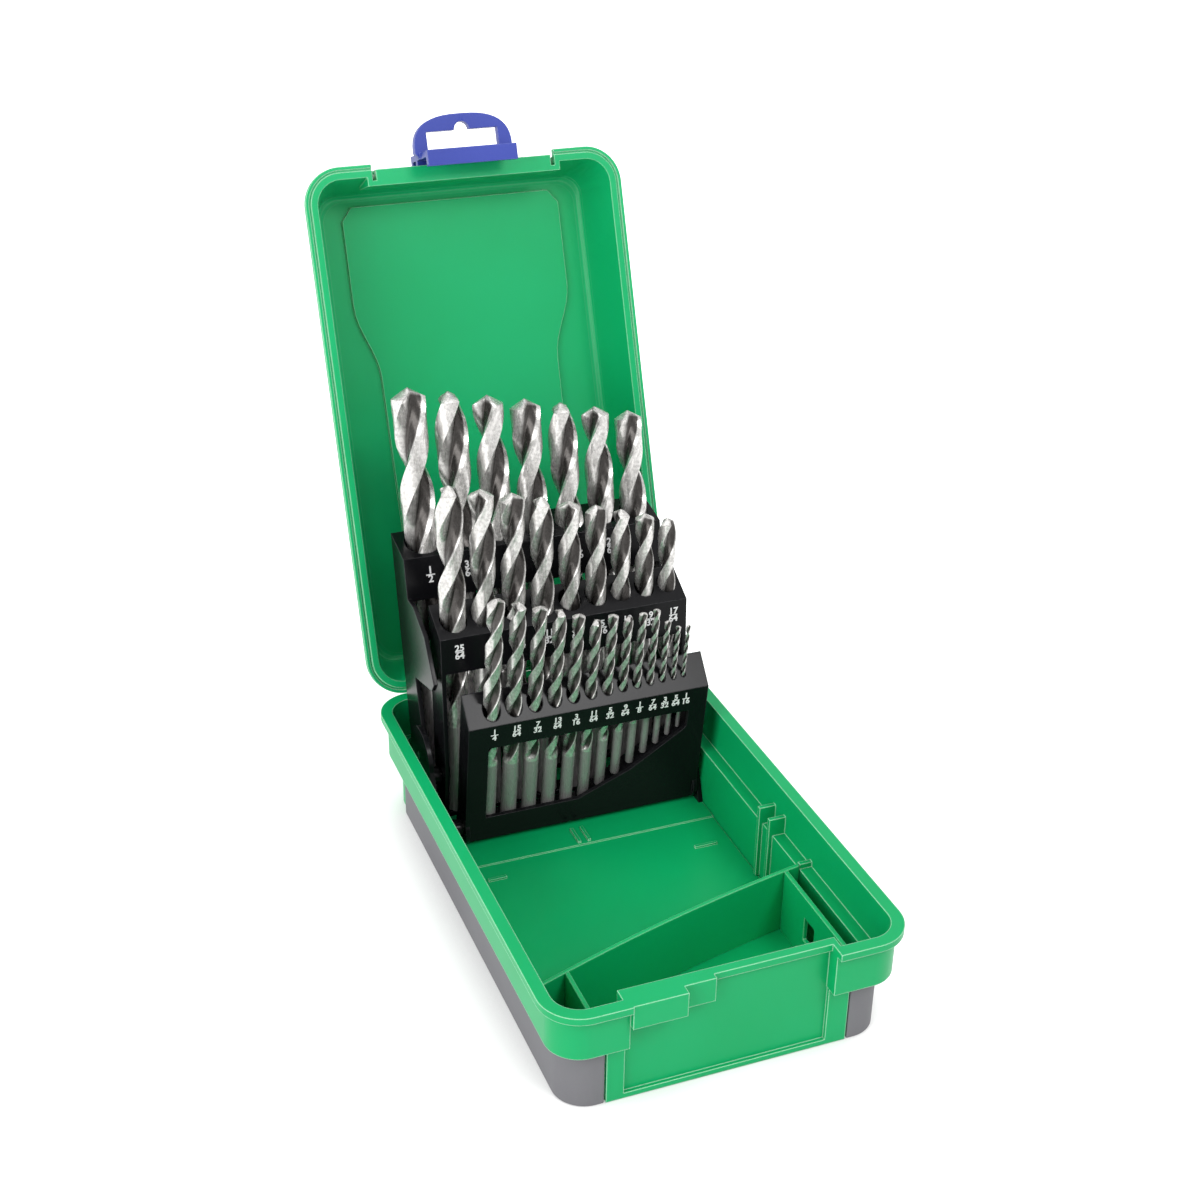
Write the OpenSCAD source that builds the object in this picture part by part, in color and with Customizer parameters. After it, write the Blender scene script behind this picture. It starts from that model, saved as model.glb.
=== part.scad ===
// Drill bit case: a two-shell case that stands open, with three folding drill racks.
// X runs across the case, +Y to the hinge, +Z up; the origin is the middle of the underside.

/* [Case] */
// Width over the rims
case_w = 125; // [123:0.5:132]
// Length over the rims
case_l = 199; // [197:0.5:206]
// Height of the base up to its rim
base_h = 41.3; // [40:0.1:44]
// Height of the lid over the base rim
lid_h = 27.5; // [26:0.1:32]
// Corner radius of the rims
corner_r = 14; // [12:0.5:18]
// Overhang of a rim over the wall below it
rim_lip = 2.5; // [1.8:0.1:3]
// Thickness of a rim
rim_t = 2.6; // [2:0.1:3]
// Thickness of the upper walls
wall_t = 2; // [1.6:0.1:2.4]
// Thickness of the base floor
floor_t = 1.2; // [1:0.1:1.4]
// Height where the lower walls meet the wider upper band
band_z = 23.2; // [20:0.1:25]
// Step from the lower side walls out to the upper band
side_step = 5.2; // [4:0.1:5.6]
// Step from the lower front wall out to the upper band
front_step = 5.1; // [4:0.1:5.5]
// Step from the lower rear wall out to the upper band
rear_step = 1; // [0.5:0.1:1.4]
// Thickness of the lower walls
lower_t = 1.6; // [1.2:0.1:1.8]
// Thickness of the soft grey skirts
skirt_t = 1.4; // [1:0.1:1.6]
// Where a skirt ends on the front wall, from the middle
skirt_x = 42.6; // [40:0.1:44]

/* [Lid] */
// Angle of the open lid from closed
lid_open = 110.5; // [100:0.5:112]
// Draw-in of the lid's top against its rim
lid_taper = 4.5; // [3:0.1:5]
// Thickness of the lid's top
lid_top_t = 2; // [1.6:0.1:2.4]
// Gap between the closed rims
rim_gap = 0.3; // [0.2:0.05:0.4]
// Half width of the raised panel inside the lid, near the latch
panel_wide = 44; // [42:0.5:46]
// Half width of that panel near the hinge
panel_narrow = 36.5; // [34:0.5:38]
// Height of that panel over the lid's inside
panel_t = 1.4; // [0.8:0.1:1.6]

/* [Hinge and latch] */
// Radius of the hinge knuckles
knuckle_r = 3; // [2.8:0.1:3.2]
// Length of a lid knuckle
lid_knuckle_l = 10; // [8:0.5:14]
// Length of a base knuckle
base_knuckle_l = 5; // [4:0.5:8]
// Middle of each hinge from the middle of the case
hinge_x = 35; // [30:0.5:38]
// Diameter of the hinge pins
hinge_pin_d = 2; // [1.8:0.1:2.4]
// Width of the latch clasp
clasp_w = 34.8; // [32:0.2:36]
// Height of the clasp across both rims
clasp_h = 24; // [23:0.2:26]
// Wall of the clasp
clasp_t = 2.4; // [2:0.1:2.6]
// Reach of the hanging loop beyond the clasp
loop_reach = 13.4; // [12:0.2:15]
// Width of that loop where it leaves the clasp
loop_w = 38.4; // [36:0.2:40]
// Travel of the clasp to each side
clasp_travel = 16; // [10:0.5:16]
// Depth of the base pad that the clasp holds
rail_depth = 5.6; // [5:0.1:5.8]
// Depth of the lid's latch rail
lid_rail_depth = 4; // [3.6:0.1:4.6]
// Height of the latch rail and of the base pad
rail_h = 9; // [8:0.1:9.2]

/* [Racks] */
// Lean of the back rack, backwards
back_lean = 13.4; // [12:0.2:14]
// Lean of the middle rack, backwards
middle_lean = 2.7; // [2:0.1:4]
// Lean of the front rack, backwards
front_lean = -8; // [-9:0.2:-7]
// Height of the back rack's front edge along its drills
back_rack_h = 91; // [84:0.5:92]
// Height of the middle rack's front edge along its drills
middle_rack_h = 74; // [68:0.5:75]
// Height of the front rack's front edge along its drills
front_rack_h = 48.5; // [46:0.5:50]
// Thickness of the racks' walls
rack_t = 1.6; // [1.4:0.1:1.7]
// Thickness of the bracket plates
bracket_t = 1.8; // [1.4:0.1:2]
// Diameter of the racks' pivot pins
pivot_d = 3; // [2.6:0.1:3.2]
// Radius of the eye round a pivot
eye_r = 4.2; // [3.8:0.1:4.3]

/* [Drills] */
// Web between the drills of the back row
back_web = 2.6; // [2.3:0.05:2.6]
// Web between the drills of the middle row
middle_web = 2.1; // [1.8:0.05:2.2]
// Web between the drills of the front row
front_web = 2.28; // [2:0.05:2.5]
// Radial play of a drill in its hole
drill_play = 0.15; // [0.1:0.05:0.25]
// Share of a drill that is fluted
flute_share = 0.72; // [0.6:0.01:0.78]

/* [Compartments] */
// Height of the dividers over the underside
divider_z = 27; // [24:0.5:29]
// Thickness of the dividers
divider_t = 1.6; // [1.2:0.1:2]
// Thickness of the tray's sheet
tray_t = 0.8; // [0.6:0.1:0.8]
// Step of the raised platform under the racks
platform_t = 0.6; // [0.3:0.1:0.6]
// Front edge of that platform
platform_y = 34; // [30:0.5:38]
// Middle of the left divider
left_divider_x = -43; // [-46:0.5:-40]
// Middle of the right divider
right_divider_x = 47; // [44:0.5:48]

/* [Hidden] */
$fn = 48;

green = "#23a66b";
black = "#1b1c1f";
blue = "#4454a5";
grey = "#8a8b8d";
steel = "#c6cacf";

inch = 25.4;
run_fit = 0.05;
part_gap = 0.4;
over = 1;
skin = 0.01;

rim_x = case_w/2;
rim_y = case_l/2;
band_x = rim_x - rim_lip;
band_y = rim_y - rim_lip;
band_r = corner_r - rim_lip;
room_x = band_x - wall_t;
room_y = band_y - wall_t;
room_r = band_r - wall_t;
low_x = band_x - side_step;
low_front = -band_y + front_step;
low_rear = band_y - rear_step;
low_room_x = low_x - lower_t;
low_room_front = low_front + lower_t;
low_room_rear = low_rear - lower_t;
low_r = room_r;
low_room_r = low_r - lower_t;
shelf_t = 1.8;
shelf_z = band_z + shelf_t;

hinge_y = rim_y;
hinge_z = base_h;
knuckle_gap = part_gap;
pin_l = lid_knuckle_l + 2*(base_knuckle_l + knuckle_gap);

// The front wall and the lid's front wall step in at the latch
recess_y = -rim_y + 6;
recess_x0 = -clasp_w/2 - clasp_travel - 2.6;
recess_x1 = clasp_w/2 + clasp_travel + 0.8;
panel_z = 2;
post_x = skirt_x - 0.6;
post_w = 7.5;
rail_y = recess_y - rail_depth;
lid_rail_y = recess_y - lid_rail_depth;
rail_x = clasp_w/2 + clasp_travel + 1.1;
pad_x1 = -clasp_w/2 - part_gap;
pad_step_x1 = -7;
jaw_reach = 3.5;
jaw_y = rail_y - part_gap + jaw_reach;
pad_step_y = jaw_y + part_gap;
clasp_y = rail_y - part_gap;

lid_rim_z = base_h + rim_gap;
lid_top_z = base_h + lid_h;
lid_room_z = lid_top_z - lid_top_t;
rail_top_z = lid_rim_z + rail_h;
clasp_z0 = base_h - clasp_h/2;
clasp_z1 = base_h + clasp_h/2;
rib_t = 1.2;

// Side plates and the three rack layers across the case
plate_x = low_room_x - 0.2;
plate_in_x = plate_x - bracket_t;
cheek_x = plate_in_x - part_gap;
cheek_in_x = cheek_x - rack_t;
middle_left = -(cheek_in_x - 2.2);
middle_right = cheek_in_x - 0.3;
front_left = 8 - cheek_x;
front_right = cheek_x;

// Where the drills of each row stand, and where each rack pivots, as [y, z]
back_foot = [76.5, 13.3];
middle_foot = [61.8, 11.5];
front_foot = [51, 10.6];
back_pivot = [70.3, 31.5];
middle_pivot = [63.7, 25.7];
front_pivot = [51.2, 9];
back_first = 32;
middle_first = 25;
front_first = 16;
back_x = -41.2;
middle_x = -39.9;
front_x = -33;

// Rack sections in the plane of a rack: front and back face, bands and floors
back_face = -8.2;
back_rear = 7.5;
back_band = 16;
back_rise = 7;
middle_face = -7;
middle_rear = 6.5;
middle_band = 14;
middle_rise = 8;
front_face = -4.7;
front_rear = 5.2;
front_band = 10;
front_rise = 9;
sole_t = 1.8;
front_keel = 6.1;
boss_r = 3.3;

platform_z = floor_t + tray_t + platform_t;
sheet_z = floor_t + tray_t;
tray_gap = 0.3;
tray_x = low_room_x - tray_gap;
tray_front = low_room_front + tray_gap;
tray_rear = low_room_rear - tray_gap;
tray_r = low_room_r - tray_gap;
tray_rib_t = 1.2;
wall_rib_t = 1.6;
wall_rib_z = 32;
wall_rib_y = [-5, -13];

// Finger notch in the right divider
notch_y = -57;
notch_z = 14.5;
notch_w = 7;
notch_h = 9;

// Outline of a side plate: its foot on the platform and its round top
plate_foot = [44, 84];
plate_neck = [56, 80];
plate_top = [68, 32];
plate_top_r = 12;

function drill_d(n) = n*inch/64;
function drill_l(n) = inch*(6 - (32 - n)/8 - ((n < 12 ? 1 : 0) + (n < 10 ? 1 : 0)
    + (n < 7 ? 2 : 0) + (n < 6 ? 1 : 0))/8);
function row_x(first, x0, web, i) = i == 0 ? x0
    : row_x(first, x0, web, i - 1) + (drill_d(first - i + 1) + drill_d(first - i))/2 + web;

// Position of a [y, z] point in a rack's own plane, as [across, along]
function in_rack(p, foot, lean) = [
    (p[0] - foot[0])*cos(lean) - (p[1] - foot[1])*sin(lean),
    (p[0] - foot[0])*sin(lean) + (p[1] - foot[1])*cos(lean)];

// The front rack's floor climbs for the short drills
function front_floor(x) = x < 4 ? 0 : x < 22 ? (x - 4)*0.7 : 12.6 + (x - 22)*0.72;
function front_seat(i) = front_floor(row_x(front_first, front_x, front_web, i)
    + drill_d(front_first - i)/2);

// The curved divider across the case
function divider_y(x) = -46.8 + 0.272*x - 0.00082*x*x;

module round_rect(hw, y0, y1, r) {
    translate([-hw + r, y0]) square([2*(hw - r), y1 - y0]);
    translate([-hw, y0 + r]) square([2*hw, y1 - y0 - 2*r]);
    for (sx = [-1, 1], y = [y0 + r, y1 - r])
        translate([sx*(hw - r), y]) circle(r = r);
}

module slab(hw, y0, y1, r, z0, z1) {
    translate([0, 0, z0]) linear_extrude(z1 - z0) round_rect(hw, y0, y1, r);
}

module block(x0, x1, y0, y1, z0, z1) {
    translate([x0, y0, z0]) cube([x1 - x0, y1 - y0, z1 - z0]);
}

// A rod along X at [y, z]
module rod(x0, x1, p, r) {
    translate([x0, p[0], p[1]]) rotate([0, 90, 0]) cylinder(h = x1 - x0, r = r);
}

// A section drawn as [y, z], carried along X
module bar(x0, x1) {
    translate([x0, 0, 0]) rotate([90, 0, 90]) linear_extrude(x1 - x0) children();
}

module rack_place(foot, lean) {
    translate([0, foot[0], foot[1]]) rotate([-lean, 0, 0]) children();
}

module lid_place() {
    translate([0, hinge_y, hinge_z]) rotate([-lid_open, 0, 0])
        translate([0, -hinge_y, -hinge_z]) children();
}

module knuckles(outer, r) {
    l = lid_knuckle_l/2;
    for (s = [-1, 1])
        translate([s*hinge_x, 0, 0])
            if (outer) {
                rod(-l - knuckle_gap - base_knuckle_l, -l - knuckle_gap, [hinge_y, hinge_z], r);
                rod(l + knuckle_gap, l + knuckle_gap + base_knuckle_l, [hinge_y, hinge_z], r);
            } else
                rod(-l, l, [hinge_y, hinge_z], r);
}

// Room that one side's knuckles need in the other side
module knuckle_room(outer) {
    l = lid_knuckle_l/2;
    r = knuckle_r + part_gap;
    g = knuckle_gap;
    for (s = [-1, 1])
        translate([s*hinge_x, 0, 0])
            if (outer) {
                rod(-l - g - base_knuckle_l - g, -l, [hinge_y, hinge_z], r);
                rod(l, l + g + base_knuckle_l + g, [hinge_y, hinge_z], r);
            } else
                rod(-l - g, l + g, [hinge_y, hinge_z], r);
}

module base_outside() {
    slab(low_x, low_front, low_rear, low_r, 0, shelf_z);
    slab(band_x, -band_y, band_y, band_r, band_z, base_h);
    slab(rim_x, -rim_y, rim_y, corner_r, base_h - rim_t, base_h);
    for (s = [0, 1])
        mirror([s, 0, 0])
            block(post_x - post_w, post_x, low_front - skirt_t, low_front + skin, 0, band_z + skin);
    block(-post_x + over, post_x - over, low_front - skirt_t, low_front + skin, 0, panel_z);
}

// The wall and lip behind the latch recess, and the pad that the clasp holds
module front_panel() {
    lip_z = base_h - rim_t;
    block(recess_x0 - wall_t, recess_x1 + wall_t, low_front, low_room_front, band_z, base_h);
    block(recess_x0 - wall_t, recess_x1 + wall_t, recess_y, low_front + skin, lip_z, base_h);
    block(recess_x0 - wall_t, recess_x0, -band_y + skin, low_front + skin, band_z, base_h);
    block(recess_x1, recess_x1 + wall_t, -band_y + skin, low_front + skin, band_z, base_h);
    block(recess_x0 - skin, pad_x1, rail_y, low_front + skin, base_h - rail_h, base_h);
    block(pad_x1 - skin, pad_step_x1, pad_step_y, low_front + skin, base_h - rail_h, base_h);
}

// Upright ribs on the right wall, and the end of the curved wall on its shelf
module wall_ribs() {
    for (y = wall_rib_y) {
        block(low_room_x - wall_rib_t, low_room_x + skin, y - wall_rib_t/2, y + wall_rib_t/2,
            sheet_z + part_gap, shelf_z);
        block(low_room_x - wall_rib_t, room_x + skin, y - wall_rib_t/2, y + wall_rib_t/2,
            shelf_z - skin, wall_rib_z);
    }
    end_y = divider_y((low_room_x + room_x)/2);
    block(low_room_x - skin, room_x + skin, end_y - divider_t/2, end_y + divider_t/2,
        shelf_z - skin, divider_z);
}

module base_shell() {
    color(green) difference() {
        union() {
            difference() {
                base_outside();
                slab(low_room_x, low_room_front, low_room_rear, low_room_r, floor_t, shelf_z + over);
                slab(room_x, -room_y, room_y, room_r, shelf_z, base_h + over);
                block(recess_x0, recess_x1, -rim_y - over, low_front, panel_z, base_h + over);
            }
            front_panel();
            wall_ribs();
            knuckles(true, knuckle_r);
        }
        knuckle_room(false);
        knuckles(true, hinge_pin_d/2 + run_fit);
    }
}

// Keeps a piece of the tray within the walls of the base
module in_tray(z0, z1) {
    intersection() {
        slab(tray_x, tray_front, tray_rear, tray_r, z0, z1);
        children();
    }
}

module compartment_tray() {
    color(green) {
        slab(tray_x, tray_front, tray_rear, tray_r, floor_t, sheet_z);
        in_tray(sheet_z - skin, platform_z)
            block(-tray_x, tray_x, platform_y, tray_rear, floor_t, platform_z);
        for (x = [-1.6, 2.3])
            block(x - tray_rib_t/2, x + tray_rib_t/2, platform_y + 1, 44, sheet_z, platform_z + 0.8);
        block(-41, -34, platform_y - 9.6, platform_y - 8.4, sheet_z - skin, sheet_z + 0.8);
        block(38, 47, platform_y - 16.6, platform_y - 15.4, sheet_z - skin, sheet_z + 0.8);
    }
}

// The curved wall across the tray
module cross_divider() {
    steps = 12;
    xs = [for (i = [0 : steps]) tray_x*(2*i/steps - 1)];
    color(green) translate([0, 0, sheet_z]) linear_extrude(divider_z - sheet_z)
        polygon(concat(
            [for (x = xs) [x, divider_y(x) - divider_t/2]],
            [for (i = [steps : -1 : 0]) [xs[i], divider_y(xs[i]) + divider_t/2]]));
}

// A wall from the front of the tray to the curved wall
module divider(x) {
    x0 = x - divider_t/2;
    x1 = x + divider_t/2;
    y0 = divider_y(x0) - divider_t/2 - run_fit;
    y1 = divider_y(x1) - divider_t/2 - run_fit;
    color(green) difference() {
        in_tray(sheet_z, divider_z)
            linear_extrude(divider_z)
                polygon([[x0, tray_front], [x1, tray_front], [x1, y1], [x0, y0]]);
        // Finger notch low in the right divider
        if (x > 0)
            block(x0 - over, x1 + over, notch_y - notch_w/2, notch_y + notch_w/2,
                notch_z - notch_h/2, notch_z + notch_h/2);
    }
}

// Upright ribs at the front of the tray
module tray_ribs() {
    color(green) in_tray(sheet_z, divider_z)
        for (x = [-33, -8, 16])
            block(x - tray_rib_t/2, x + tray_rib_t/2, tray_front, tray_front + 5.3, sheet_z, divider_z);
}

module skirt(side) {
    color(grey) intersection() {
        difference() {
            slab(low_x + skirt_t, low_front - skirt_t, low_rear, low_r + skirt_t, 0, band_z);
            slab(low_x + skin, low_front - skin, low_rear + over, low_r + skin, -over, band_z + over);
        }
        mirror([side < 0 ? 1 : 0, 0, 0])
            block(skirt_x, rim_x, -rim_y, low_rear - 16, -over, band_z + over);
    }
}

module bracket(side) {
    front_boss_in = side < 0 ? -front_left + 0.3 : front_right + 0.3;
    middle_boss_in = side < 0 ? -middle_left + 0.3 : middle_right + 0.3;
    color(black) mirror([side < 0 ? 1 : 0, 0, 0]) difference() {
        union() {
            bar(plate_in_x, plate_x) {
                translate(plate_top) circle(r = plate_top_r, $fn = 96);
                polygon([[plate_foot[0], platform_z], [plate_foot[1], platform_z],
                    [plate_neck[1], plate_top[1]], [plate_neck[0], plate_top[1]]]);
            }
            block(plate_in_x - 7, plate_in_x + skin, 60, plate_foot[1],
                platform_z, platform_z + rack_t);
            rod(middle_boss_in, plate_in_x + skin, middle_pivot, boss_r);
            rod(front_boss_in, plate_in_x + skin, front_pivot, boss_r);
        }
        for (p = [back_pivot, middle_pivot, front_pivot])
            rod(min(front_boss_in, middle_boss_in) - over, plate_x + over, p, pivot_d/2 + run_fit);
    }
}

// A pair of pivot pins, from the plates in to the inner faces of the rack's cheeks
module pivot_pins(p, left_in, right_in) {
    color(steel) {
        rod(-plate_x, left_in, p, pivot_d/2);
        rod(right_in, plate_x, p, pivot_d/2);
    }
}

module hinge_pins() {
    color(steel) for (s = [-1, 1])
        rod(s*hinge_x - pin_l/2, s*hinge_x + pin_l/2, [hinge_y, hinge_z], hinge_pin_d/2);
}

// A shell form whose sides lean in by take and whose top edge is rounded by edge
module drawn_in(hx, hy, r, z0, z1, take, edge) {
    hull() {
        slab(hx, -hy, hy, r, z0, z0 + skin);
        for (a = [0, 30, 60, 90]) {
            z = z1 - edge*(1 - sin(a));
            d = take*(z - z0)/(z1 - z0) + edge*(1 - cos(a));
            slab(hx - d, -hy + d, hy - d, r - 1.5, z - skin, z);
        }
    }
}

module lid_panel() {
    top_y = -86;
    shoulder_y = top_y + 37;
    waist_y = shoulder_y + 29;
    foot_y = 82;
    steps = 8;
    bend = [for (i = [0 : steps]) let (t = i/steps)
        [panel_wide + (panel_narrow - panel_wide)*(1 - cos(180*t))/2,
            shoulder_y + (waist_y - shoulder_y)*t]];
    right = concat([[panel_wide - 4, top_y], [panel_wide, top_y + 5]], bend,
        [[panel_narrow - 1, foot_y]]);
    left = [for (i = [len(right) - 1 : -1 : 0]) [-right[i][0], right[i][1]]];
    polygon(concat(right, left));
}

module lid_shell() {
    body_z = lid_rim_z + rim_t;
    groove_x = rim_x - 1.3;
    groove_y = rim_y - 1.3;
    groove_r = corner_r - 1.3;
    color(green) lid_place() difference() {
        union() {
            difference() {
                union() {
                    slab(rim_x, -rim_y, rim_y, corner_r, lid_rim_z, body_z);
                    drawn_in(band_x, band_y, band_r, body_z - skin, lid_top_z, lid_taper, 3.5,
                        $fn = 32);
                }
                drawn_in(room_x, room_y, room_r, lid_rim_z - over, lid_room_z, lid_taper, 2.5,
                    $fn = 32);
                difference() {
                    slab(groove_x, -groove_y, groove_y, groove_r, lid_rim_z - over, lid_rim_z + 0.5);
                    slab(groove_x - 0.8, -groove_y + 0.8, groove_y - 0.8, groove_r - 0.8,
                        lid_rim_z - 2*over, lid_rim_z + over);
                }
                block(-rail_x - 1.5, rail_x + 1.5, -rim_y - over, recess_y, lid_rim_z - over,
                    clasp_z1 + part_gap);
            }
            block(-rail_x - 3.5, rail_x + 3.5, recess_y, recess_y + wall_t, lid_rim_z,
                clasp_z1 + part_gap + wall_t);
            block(-rail_x - 3.5, rail_x + 3.5, -band_y + 1.9, recess_y + wall_t,
                clasp_z1 + part_gap, clasp_z1 + part_gap + wall_t);
            for (s = [0, 1])
                mirror([s, 0, 0])
                    block(rail_x + 1.5, rail_x + 3.5, -band_y + 1.9, recess_y + wall_t,
                        lid_rim_z, clasp_z1 + part_gap + wall_t);
            difference() {
                block(-rail_x, rail_x, lid_rail_y, recess_y + skin, lid_rim_z, rail_top_z);
                block(-rail_x - over, rail_x + over, lid_rail_y - over,
                    lid_rail_y + rib_t + part_gap, lid_rim_z + 3 - part_gap, lid_rim_z + 5 + part_gap);
                }
            translate([0, 0, lid_room_z - panel_t]) linear_extrude(panel_t + skin) lid_panel();
            knuckles(false, knuckle_r);
        }
        knuckle_room(true);
        knuckles(false, hinge_pin_d/2 + run_fit);
    }
}

// An arch that is widest at the clasp
module loop_outline() {
    y0 = clasp_y - clasp_t;
    steps = 24;
    power = 2/2.7;
    arch = [for (i = [0 : steps]) let (a = 180*i/steps, c = cos(a))
        [loop_w/2*sign(c)*pow(abs(c), power), y0 - loop_reach*pow(sin(a), power)]];
    polygon(concat([[clasp_w/2, clasp_y]], arch, [[-clasp_w/2, clasp_y]]));
}

module loop_hole() {
    y0 = clasp_y - clasp_t;
    translate([-14, y0 - 7.4]) square([28, 7.4]);
    translate([0, y0 - 7.4]) circle(r = 3);
}

module latch_clasp() {
    x0 = -clasp_w/2;
    x1 = clasp_w/2;
    back_y = recess_y - part_gap;
    jaw_z = rail_top_z + part_gap;
    color(blue) lid_place() {
        block(x0, x1, clasp_y - clasp_t, clasp_y, clasp_z0, clasp_z1);
        block(x0, x1, clasp_y - skin, jaw_y, clasp_z0, base_h - rail_h - part_gap);
        block(x0, x1, clasp_y - skin, back_y, jaw_z, clasp_z1);
        block(x0, x1, clasp_y - skin, lid_rail_y + rib_t, lid_rim_z + 3, lid_rim_z + 5);
        translate([0, 0, base_h - 1.6]) linear_extrude(3.2) difference() {
            loop_outline();
            loop_hole();
            translate([x0 - over, clasp_y - skin]) square([clasp_w + 2*over, 10]);
        }
    }
}

// Holes for a row of drills through a rack's band
module row_holes(first, x0, web, count, z0) {
    for (i = [0 : count - 1])
        translate([row_x(first, x0, web, i), 0, z0])
            cylinder(h = 200, d = drill_d(first - i) + 2*drill_play);
}

module band_section(face, rear, h, band, rise) {
    polygon([[face, h - band], [face, h], [rear, h + rise], [rear, h - band]]);
}

module back_rack() {
    eye = in_rack(back_pivot, back_foot, back_lean);
    color(black) rack_place(back_foot, back_lean) difference() {
        union() {
            bar(-cheek_x, cheek_x)
                band_section(back_face, back_rear, back_rack_h, back_band, back_rise);
            block(-cheek_x, cheek_x, -5, 3, -sole_t, 0);
            for (x = [-cheek_x, cheek_in_x])
                bar(x, x + rack_t) {
                    translate(eye) circle(r = eye_r);
                    polygon([[back_face, back_rack_h], [back_rear, back_rack_h + back_rise],
                        [back_rear, 5], [3, -sole_t], [-5, -sole_t],
                        [eye[0] + 2, eye[1] - 3.5], [eye[0] - 3.9, eye[1] + 1], [-10.8, 22],
                        [back_face, 45]]);
                }
            // Gusset that stands forward at the left end
            bar(-cheek_x, -cheek_in_x)
                polygon([[back_face, 76], [-15.7, 74.6], [-26.9, 66.3], [-34, 50], [-30, 46.8],
                    [back_face, 46]]);
        }
        row_holes(back_first, back_x, back_web, 7, 0);
        rod(-cheek_x - over, cheek_x + over, eye, pivot_d/2 + run_fit);
    }
}

module middle_rack() {
    eye = in_rack(middle_pivot, middle_foot, middle_lean);
    color(black) rack_place(middle_foot, middle_lean) difference() {
        union() {
            bar(middle_left, middle_right)
                band_section(middle_face, middle_rear, middle_rack_h, middle_band, middle_rise);
            block(middle_left, middle_right, -3.5, 3.5, -sole_t, 0);
            for (x = [middle_left, middle_right - rack_t])
                bar(x, x + rack_t) {
                    translate(eye) circle(r = eye_r);
                    polygon([[middle_face, middle_rack_h], [middle_rear, middle_rack_h + middle_rise],
                        [middle_rear, 18], [4, 2], [3.5, -sole_t], [-3.5, -sole_t], [-4, 2],
                        [middle_face, 20]]);
                }
        }
        row_holes(middle_first, middle_x, middle_web, 9, 0);
        rod(middle_left - over, middle_left + rack_t + skin, eye, pivot_d/2 + run_fit);
        rod(middle_right - rack_t - skin, middle_right + over, eye, pivot_d/2 + run_fit);
    }
}

module front_rack() {
    eye = in_rack(front_pivot, front_foot, front_lean);
    window_top = front_rack_h - front_band;
    right = front_right - rack_t;
    color(black) rack_place(front_foot, front_lean) difference() {
        union() {
            bar(front_left, front_right)
                band_section(front_face, front_rear, front_rack_h, front_band, front_rise);
            for (x = [front_left, right])
                bar(x, x + rack_t) {
                    translate(eye) circle(r = front_keel);
                    polygon([[front_face, -3.5], [front_rear, -3.5], [front_rear, front_rack_h + front_rise],
                        [front_face, front_rack_h]]);
                }
            // Round keel under the drills
            bar(front_left, front_right) intersection() {
                translate(eye) circle(r = front_keel);
                translate([front_face, -front_keel - 2]) square([front_rear - front_face, front_keel + 2]);
            }
            // Front plate with the window, and the climbing floor behind it
            translate([0, front_face + rack_t, 0]) rotate([90, 0, 0]) linear_extrude(rack_t)
                difference() {
                    translate([front_left, -3.5]) square([front_right - front_left, window_top + 4]);
                    polygon([[-35, 5], [1.6, 5], [22, 14.5], [42, 29.2], [43.6, 31],
                        [43.6, window_top], [-35, window_top]]);
                }
            translate([0, front_rear, 0]) rotate([90, 0, 0]) linear_extrude(front_rear - front_face)
                polygon([[front_left, -2], [front_right, -2], [front_right, front_floor(front_right)],
                    [22, front_floor(22)], [4, 0], [front_left, 0]]);
        }
        for (i = [0 : 12])
            translate([row_x(front_first, front_x, front_web, i), 0, front_seat(i)])
                cylinder(h = 100, d = drill_d(front_first - i) + 2*drill_play);
        for (x = [front_left - over, right - over])
            rod(x, x + rack_t + 2*over, eye, pivot_d/2 + run_fit);
    }
}

// A twist drill that stands on its shank: ten points to a ring, two flutes
module drill(n) {
    sides = 10;
    rings = 14;
    r = drill_d(n)/2;
    l = drill_l(n);
    flute_l = l*flute_share;
    tip_l = 0.55*r;
    start = l - flute_l;
    turns = min(flute_l/(10.4*r), 2);
    core = 0.56;
    heights = concat([0, start], [for (i = [1 : rings]) start + (flute_l - tip_l)*i/rings]);
    points = concat(
        [for (j = [0 : rings + 1], k = [0 : sides - 1])
            let (a = 360*k/sides + (j < 1 ? 0 : (j - 1)*360*turns/rings),
                f = j > 1 && k % (sides/2) > 2 ? core : 1)
            [f*r*cos(a), f*r*sin(a), heights[j]]],
        [[0, 0, l]]);
    last = (rings + 1)*sides;
    sides_faces = [for (j = [0 : rings], k = [0 : sides - 1], h = [0, 1])
        let (a = j*sides + k, b = j*sides + (k + 1) % sides)
        h == 0 ? [a, a + sides, b + sides] : [a, b + sides, b]];
    tip_faces = [for (k = [0 : sides - 1]) [last + k, len(points) - 1, last + (k + 1) % sides]];
    polyhedron(points, concat([[for (k = [0 : sides - 1]) k]], sides_faces, tip_faces));
}

module back_drill(i) {
    color(steel) rack_place(back_foot, back_lean)
        translate([row_x(back_first, back_x, back_web, i), 0, 0]) drill(back_first - i);
}

module middle_drill(i) {
    color(steel) rack_place(middle_foot, middle_lean)
        translate([row_x(middle_first, middle_x, middle_web, i), 0, 0]) drill(middle_first - i);
}

module front_drill(i) {
    color(steel) rack_place(front_foot, front_lean)
        translate([row_x(front_first, front_x, front_web, i), 0, front_seat(i)])
            drill(front_first - i);
}

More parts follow.
